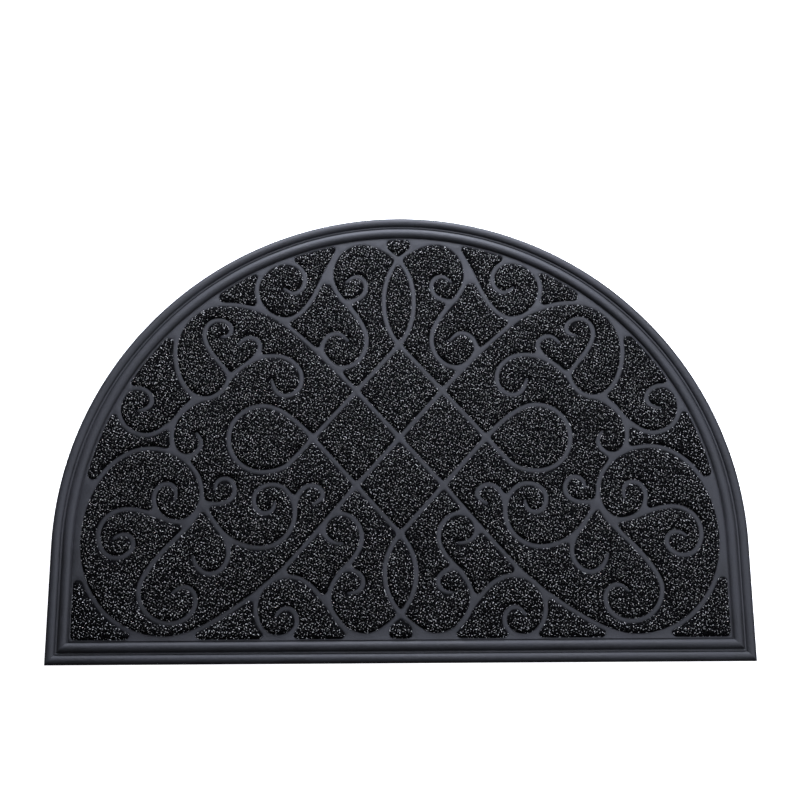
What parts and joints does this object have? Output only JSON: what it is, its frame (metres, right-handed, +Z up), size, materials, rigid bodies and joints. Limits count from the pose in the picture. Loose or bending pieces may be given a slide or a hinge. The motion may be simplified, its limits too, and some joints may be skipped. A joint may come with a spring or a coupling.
{
  "type": "half-round rubber doormat with pile panels",
  "caption": "Half-round doormat: moulded rubber with a beaded rim and a scrolling line pattern, the fields between the lines filled with curly pile.",
  "frame": {"origin": "on the floor under the middle of the mat's width and depth", "axes": "+X along the straight edge, +Y from the straight edge to the round one, +Z up out of the floor"},
  "size_m": [0.6, 0.4, 0.0068],
  "materials": {
    "moulded_rubber": "black moulded rubber, satin",
    "curled_pile": "black curly fibre pile with bright glints"
  },
  "bodies": {
    "root": {"rubber_base": "moulded_rubber", "pile_diamond_top": "curled_pile", "pile_diamond_bottom": "curled_pile", "pile_upper_oval": "curled_pile", "pile_lower_oval": "curled_pile", "pile_top_bud": "curled_pile", "pile_bottom_bud": "curled_pile", "pile_diamond_left": "curled_pile", "pile_diamond_right": "curled_pile", "pile_side_loop_left": "curled_pile", "pile_side_loop_right": "curled_pile", "pile_crown_left": "curled_pile", "pile_crown_right": "curled_pile", "pile_shoulder_fan_left": "curled_pile", "pile_shoulder_fan_right": "curled_pile", "pile_shoulder_left": "curled_pile", "pile_shoulder_right": "curled_pile", "pile_shoulder_wedge_left": "curled_pile", "pile_shoulder_wedge_right": "curled_pile", "pile_great_scroll_left": "curled_pile", "pile_great_scroll_right": "curled_pile", "pile_side_left": "curled_pile", "pile_side_right": "curled_pile", "pile_side_wedge_left": "curled_pile", "pile_side_wedge_right": "curled_pile", "pile_corner_wedge_left": "curled_pile", "pile_corner_wedge_right": "curled_pile", "pile_foot_wedge_left": "curled_pile", "pile_foot_wedge_right": "curled_pile", "pile_instep_left": "curled_pile", "pile_instep_right": "curled_pile", "pile_foot_fan_left": "curled_pile", "pile_foot_fan_right": "curled_pile", "pile_foot_left": "curled_pile", "pile_foot_right": "curled_pile"}
  },
  "joints": []
}
